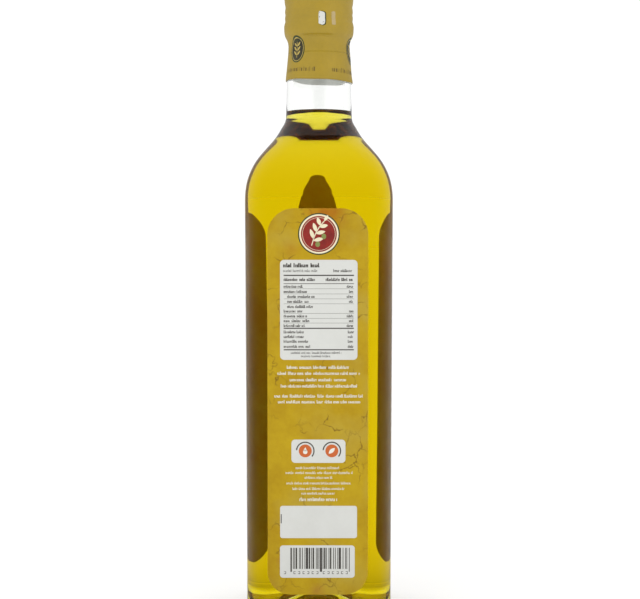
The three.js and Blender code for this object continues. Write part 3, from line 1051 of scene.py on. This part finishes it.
@dataclass
class Label:
    """One paper label on a flat side of the bottle, with its print."""

    form: BottleForm
    fx: Effects
    inks: dict
    strokes: StrokeTree
    side: int
    crest: bool
    half: float
    centre: float
    low: float = 14.5
    high: float = 188.0
    top_r: float = 12.0
    low_r: float = 10.5
    crest_half: float = 9.2
    crest_rise: float = 10.6
    crest_power: float = 0.8
    crest_shift: float = 1.0
    sink: float = 0.1
    proud: float = 0.12

    @property
    def name(self) -> str:
        """Name of the CAD node that this label stands for."""
        return "front_label" if self.side > 0 else "back_label"

    def _rows(self) -> list:
        """Rows (height, centre, half width) of the outline from the bottom up."""
        steps = 16
        turns = [math.pi / 2 * k / steps for k in range(steps + 1)]
        rows = [(self.low + self.low_r * (1 - math.cos(a)), self.half - self.low_r * (1 - math.sin(a)))
                for a in turns]
        rows += [(z, self.half) for z in (60.0, 110.0, 150.0)]
        rows += [(self.high - self.top_r * (1 - math.sin(a)), self.half - self.top_r * (1 - math.cos(a)))
                 for a in turns]
        rows = [(z, self.centre, half) for z, half in rows]
        if self.crest:
            for k in range(steps):
                a = math.pi / 2 * k / (steps - 0.4)
                rows.append((self.high + 0.3 + self.crest_rise * math.sin(a), self.centre + self.crest_shift,
                             self.crest_half * math.cos(a) ** self.crest_power))
        return rows

    def paper(self) -> bpy.types.Object:
        """The paper as one thin closed body whose back meets the glass."""
        verts, faces, backs = [], [], []
        rows = self._rows()
        for z, centre, half in rows:
            inner = self.form.half_width(z) - self.sink
            outer = self.form.half_width(z) + self.proud
            left, right = centre - half, centre + half
            verts += [(left, self.side * outer, z), (right, self.side * outer, z),
                      (right, self.side * inner, z), (left, self.side * inner, z)]
        for k in range(len(rows) - 1):
            for i in range(4):
                j = (i + 1) % 4
                quad = (4 * k + i, 4 * k + j, 4 * k + 4 + j, 4 * k + 4 + i)
                faces.append(quad if self.side < 0 else tuple(reversed(quad)))
                backs.append(i == 2)
        top = 4 * (len(rows) - 1)
        for quad in ((3, 2, 1, 0), (top, top + 1, top + 2, top + 3)):
            faces.append(quad if self.side < 0 else tuple(reversed(quad)))
            backs.append(False)
        obj = mesh_object(self.name + "_paper", verts, faces, rounded=False)
        obj.data.materials.append(ParchmentPaper().make(self.fx))
        # Painted light: the paper back glows faintly to brighten it where little light reaches it through the
        # oil.
        back = PlainCoat("Paper back", (0.9, 0.88, 0.66, 1), (0.76, 0.5, 0.4, 1), 0.7, patch=30.0,
                         contrast=1.0, glow=0.045)
        obj.data.materials.append(back.make(self.fx))
        obj.data.polygons.foreach_set("material_index", [int(b) for b in backs])
        return obj

    def _print_back(self, p: Print) -> None:
        """Print of the label shown: seal, table, lines, pictograms, a blank box and a bar code."""
        self._seal(p, 0.5, 176.6, 9.3)
        self._table(p)
        for n, (u0, u1, v) in enumerate(((-13.8, 14.8, 117.2), (-18.0, 19.0, 114.5), (-12.5, 13.4, 111.6),
                                         (-16.5, 17.7, 108.8), (-19.4, 20.2, 104.3), (-17.8, 19.0, 101.7))):
            p.line(Ink.WHITE, u0, u1, v, 1.45, 300 + n, 1.3)
        for n, (u0, u1, v) in enumerate(((-9.9, 10.5, 72.0), (-14.4, 15.6, 69.8), (-5.9, 6.6, 67.6),
                                         (-14.0, 14.7, 65.1), (-11.3, 11.8, 62.6), (-7.3, 8.0, 60.5))):
            p.line(Ink.WHITE, u0, u1, v, 1.2, 400 + n, 1.1)
        p.line(Ink.WHITE, -8.2, 9.1, 57.8, 1.7, 420, 1.3)
        p.box(Ink.PANEL, -11.8, 74.2, 12.4, 84.7, 1.7)
        self._pictogram(p, -5.6, 79.6, drop=True)
        self._pictogram(p, 6.3, 79.6, drop=False)
        p.box(Ink.PANEL, -16.9, 40.2, 17.6, 54.8, 1.1)
        p.box(Ink.DARK, -16.6, 46.9, -16.2, 51.0, extra=0.006)
        p.box(Ink.PANEL, -17.0, 22.2, 16.6, 36.9, 1.4)
        self._bars(p)

    def _seal(self, p: Print, u: float, v: float, r: float) -> None:
        """A plain round seal with a sprig."""
        p.disc(Ink.GREEN, u, v, r)
        p.disc(Ink.CREAM, u, v, r - 0.55, extra=0.005)
        p.disc(Ink.RED, u, v, r - 1.3, extra=0.01)
        p.arc(Ink.CREAM, u, v, r - 2.0, 0.16, 0, 360, extra=0.014)
        p.sprig(Ink.CREAM, Ink.OLIVE, u, v, 2 * (r - 3.2), 58, extra=0.018)

    def _table(self, p: Print) -> None:
        """The white table of small rows and rules."""
        p.box(Ink.PANEL, -16.8, 120.5, 17.7, 165.1, 1.8)
        p.line(Ink.DARK, -15.4, 0.6, 162.7, 1.9, 100, 2.1)
        p.line(Ink.DARK, -15.4, -0.3, 160.3, 1.15, 101, 1.15)
        p.line(Ink.DARK, 6.9, 15.7, 160.3, 1.3, 102, 1.6)
        for v, thick in ((158.2, 0.55), (154.5, 0.28), (134.6, 0.5), (125.0, 0.5)):
            p.box(Ink.DARK, -15.2, v - thick / 2, 16.1, v + thick / 2, extra=0.006)
        p.line(Ink.DARK, -15.2, -1.0, 156.4, 1.4, 103, 1.8)
        p.line(Ink.DARK, 3.5, 15.8, 156.4, 1.4, 104, 1.8)
        rows = (153.3, 151.0, 148.8, 146.6, 144.3, 142.3, 140.1, 138.0, 135.8)
        for n, v in enumerate(rows):
            indent = 1.6 if n in (2, 3, 4) else 0.0
            p.line(Ink.DARK, -15.2 + indent, -15.2 + indent + 8.5 + (n * 7) % 5, v, 1.3, 110 + n, 1.6)
            if n == 4:
                continue
            p.line(Ink.DARK, 12.9 + (n * 3) % 2, 15.9, v, 1.3, 130 + n, 1.6)
            if n < 8:
                p.box(Ink.DARK, -15.2, v - 1.12, 16.1, v - 1.0, extra=0.006)
        for n, v in enumerate((133.0, 130.9, 128.8, 126.5)):
            p.line(Ink.DARK, -15.2, -15.2 + 9.0 + (n * 5) % 4, v, 1.3, 150 + n, 1.6)
            p.line(Ink.DARK, 13.4, 15.9, v, 1.3, 160 + n, 1.6)
        p.line(Ink.DARK, -12.0, 10.8, 123.7, 1.05, 170, 1.2)
        p.line(Ink.DARK, -7.5, 6.3, 122.2, 1.05, 171, 1.2)

    def _pictogram(self, p: Print, u: float, v: float, drop: bool) -> None:
        """A ring with an orange disc and a plain sign: a drop or a leaf."""
        p.arc(Ink.DARK, u, v, 3.9, 0.55, -40, 175, extra=0.005)
        p.disc(Ink.ORANGE, u, v, 2.9, extra=0.006)
        if drop:
            p.disc(Ink.WHITE, u, v - 0.45, 1.0, extra=0.012)
            p.poly(Ink.WHITE, [(u - 0.93, v - 0.1), (u + 0.93, v - 0.1), (u, v + 1.7)], 0.012)
        else:
            p.leaf(Ink.WHITE, u - 1.4, v - 1.2, 3.7, 1.7, 42, 0.012)

    def _bars(self, p: Print) -> None:
        """Upright bars of uneven width over a row of small blocks."""
        rng = random.Random(77)
        u = -12.3
        bars = p.strokes.setdefault(Ink.DARK, [])
        while u < 14.4:
            wide = rng.choice((0.34, 0.34, 0.68, 1.0))
            guard = u < -11.6 or u > 13.6 or abs(u - 1.1) < 0.6
            low = 24.9 if guard else 26.2
            bars.append((p.place(u + wide / 2, (low + 35.8) / 2, p.lift + 0.006), (wide, 35.8 - low)))
            u += wide + rng.choice((0.26, 0.26, 0.5, 0.76))
        for k in range(13):
            u = -15.2 if k == 0 else -10.9 + 2.05 * (k - 1) + (0.9 if k > 6 else 0)
            p.box(Ink.DARK, u, 23.9, u + 0.9, 24.15, extra=0.006)
            p.box(Ink.DARK, u, 24.9, u + 0.9, 25.1, extra=0.006)
            side = u if k % 2 else u + 0.68
            p.box(Ink.DARK, side, 23.9, side + 0.22, 25.1, extra=0.006)

    def _print_front(self, p: Print) -> None:
        """Print of the other label: a cream arch with a sprig, plain bands and lines."""
        self._seal(p, -self.crest_shift, 187.2, 7.6)
        p.box(Ink.CREAM, -17.5, 84.0, 17.5, 168.0, 17.0)
        p.arc(Ink.OLIVE, 0.0, 150.5, 16.3, 0.3, 0, 180, extra=0.006)
        p.arc(Ink.OLIVE, 0.0, 101.5, 16.3, 0.3, 180, 360, extra=0.006)
        for u in (-16.3, 16.3):
            p.box(Ink.OLIVE, u - 0.15, 101.5, u + 0.15, 150.5, extra=0.006)
        p.sprig(Ink.OLIVE, Ink.GREEN, 0.0, 133.0, 27.0, 62, extra=0.008)
        p.sprig(Ink.OLIVE, Ink.GREEN, 1.0, 104.0, 20.0, 118, extra=0.012)
        p.box(Ink.RED, -20.3, 62.0, 20.3, 76.0)
        p.box(Ink.CREAM, -20.3, 61.0, 20.3, 61.5)
        p.box(Ink.CREAM, -20.3, 76.5, 20.3, 77.0)
        for k, v in enumerate((53.0, 49.5, 46.0)):
            p.line(Ink.WHITE, -14 + k, 14 - k, v, 1.6, 500 + k, 1.1)
        for k in range(5):
            p.disc(Ink.OLIVE, -12.0 + 6.0 * k, 30.0, 1.5, 1.9)
            p.leaf(Ink.OLIVE, -12.0 + 6.0 * k, 31.6, 3.2, 1.1, 65, 0.004)

    def build(self) -> None:
        """Make the paper and the print."""
        paper = self.paper()
        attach(paper, "root")
        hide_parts(self.name)
        LOG.info("%s: paper", self.name)
        p = Print(self.form, self.side, self.centre)
        if self.side < 0:
            self._print_back(p)
        else:
            self._print_front(p)
        f = self.form
        lean = math.atan2(f.half_top - f.half_low, f.body_top - f.heel)
        facing = (math.pi / 2 + lean, 0.0, 0.0 if self.side < 0 else math.pi)
        for ink, (verts, faces) in p.shapes.items():
            obj = mesh_object(f"{self.name}_{ink.name.lower()}_print", verts, faces, rounded=False)
            obj.data.materials.append(self.inks[ink])
            self._keep(obj)
        for ink, marks in p.strokes.items():
            name = f"{self.name}_{ink.name.lower()}_lines"
            self._keep(self.strokes.lay(name, marks, facing, self.inks[ink]))

    def _keep(self, obj: bpy.types.Object) -> None:
        """Tie a printed piece to the bottle."""
        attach(obj, "root")
        LOG.info("%s: %d faces", obj.name, len(obj.data.polygons))


# The studio
@dataclass
class Studio:
    """Camera, pale floor and soft light. The floor's half size is in mm, the rest in metres."""

    distance: float = 0.650
    eye: float = 0.1747
    pitch: float = 2.53
    across: float = 0.0005
    focal_px: float = 1386.0
    width_px: int = 640
    surround: float = 1.07
    flag_edge: float = 0.86
    flag_core: float = 0.97
    flag_depth: float = 0.8
    calm: float = 0.5
    floor_glow: float = 0.495
    shade_depth: float = 1.0
    shade_reach: float = 0.06
    floor_half: float = 60000.0
    aim_z: float = 0.14
    lamps: tuple = (("key", (-0.9, -1.1, 1.1), 0.9, 4.0), ("fill", (1.1, -0.9, 0.7), 0.9, 2.0))

    def camera(self) -> None:
        """Place the camera at the photograph's angle."""
        data = bpy.data.cameras.new("camera")
        data.sensor_width = 36.0
        data.lens = self.focal_px / self.width_px * 36.0
        data.clip_start = 0.01
        obj = bpy.data.objects.new("camera", data)
        bpy.context.scene.collection.objects.link(obj)
        obj.location = (self.across, -self.distance, self.eye)
        obj.rotation_euler = (math.radians(90 - self.pitch), 0, 0)
        bpy.context.scene.camera = obj

    def floor(self, fx: Effects) -> None:
        """A wide pale floor that gives off less light close under the bottle."""
        s = self.floor_half
        obj = mesh_object("floor", [(-s, -s, 0), (s, -s, 0), (s, s, 0), (-s, s, 0)], [(0, 1, 2, 3)])
        pale = PlainCoat("Pale floor", (0.52, 0.52, 0.515, 1), (0.5, 0.5, 0.495, 1), 0.75, contrast=0.3,
                         patch=4.0, dust=0.0, specular=0.0).make(fx)
        w = Wiring(pale.node_tree)
        shader = next(n for n in pale.node_tree.nodes if n.bl_idname == "ShaderNodeBsdfPrincipled")
        where = w.add("ShaderNodeTexCoord").outputs["Object"]
        away = w.vector("LENGTH", where).outputs["Value"]
        shade = w.math("EXPONENT", w.math("DIVIDE", away, -self.shade_reach))
        hidden = w.math("SUBTRACT", 1.0, w.add("ShaderNodeLightPath").outputs["Is Camera Ray"])
        shade = w.math("MULTIPLY", w.math("MULTIPLY", shade, self.shade_depth), hidden)
        w.tree.links.new(w.math("SUBTRACT", self.floor_glow, shade, True), shader.inputs["Emission Strength"])
        obj.data.materials.append(pale)

    def light(self) -> None:
        """White surroundings with a soft dark flag behind the camera, and two soft lamps."""
        scene = bpy.context.scene
        world = bpy.data.worlds.new("soft_studio")
        world.use_nodes = True
        scene.world = world
        tree = world.node_tree
        tree.nodes.clear()
        w = Wiring(tree)
        way = w.add("ShaderNodeTexCoord").outputs["Generated"]
        facing = w.vector("DOT_PRODUCT", way, (0.0, -1.0, 0.0))
        flag = w.ramp(facing.outputs["Value"], self.flag_edge, self.flag_core)
        path = w.add("ShaderNodeLightPath")
        mirrored = w.math("MINIMUM", path.outputs["Glossy Depth"], 1.0)
        straight = w.math("SUBTRACT", 1.0, w.math("MINIMUM", path.outputs["Transmission Depth"], 1.0))
        mirrored = w.math("MULTIPLY", mirrored, straight)
        seen = w.math("MAXIMUM", path.outputs["Is Camera Ray"], path.outputs["Is Diffuse Ray"])
        dim = w.math("MULTIPLY", w.math("MULTIPLY", flag, self.flag_depth), w.math("SUBTRACT", 1.0, seen))
        level = w.math("MULTIPLY", w.math("SUBTRACT", 1.0, dim), self.surround)
        level = w.math("MULTIPLY", level, w.math("SUBTRACT", 1.0, w.math("MULTIPLY", mirrored, self.calm)))
        back = w.add("ShaderNodeBackground", {"Color": (1, 1, 1, 1), "Strength": level})
        out = w.add("ShaderNodeOutputWorld")
        tree.links.new(back.outputs[0], out.inputs[0])
        for name, place, size, power in self.lamps:
            lamp = bpy.data.lights.new(name, "AREA")
            lamp.size = size
            lamp.energy = power
            obj = bpy.data.objects.new(name, lamp)
            scene.collection.objects.link(obj)
            obj.location = place
            obj.visible_glossy = False
            x, y, z = place
            obj.rotation_euler = (math.atan2(math.hypot(x, y), z - self.aim_z), 0, math.atan2(x, -y))

    def build(self, fx: Effects) -> None:
        """Make the studio and set how light is traced and shown."""
        self.camera()
        self.floor(fx)
        self.light()
        scene = bpy.context.scene
        scene.view_settings.view_transform = "Standard"
        scene.cycles.max_bounces = 28
        scene.cycles.transmission_bounces = 28
        scene.cycles.glossy_bounces = 8
        scene.cycles.diffuse_bounces = 4
        scene.cycles.transparent_max_bounces = 16
        scene.cycles.blur_glossy = 0.3


def main() -> None:
    """Build the studio, the bottle and its labels."""
    logging.basicConfig(level=logging.INFO, format="%(name)s: %(message)s")
    fx = Effects()
    Studio().build(fx)
    form = BottleForm()
    Vessel(form, fx).build()
    inks = {ink: ink.value.make(fx) for ink in Ink}
    NeckCapsule(fx).build(inks)
    strokes = StrokeTree()
    Label(form, fx, inks, strokes, side=-1, crest=False, half=22.5, centre=-0.5).build()
    Label(form, fx, inks, strokes, side=1, crest=True, half=22.3, centre=-1.7, low=18.5,
          high=187.0).build()


if __name__ == "__main__":
    main()
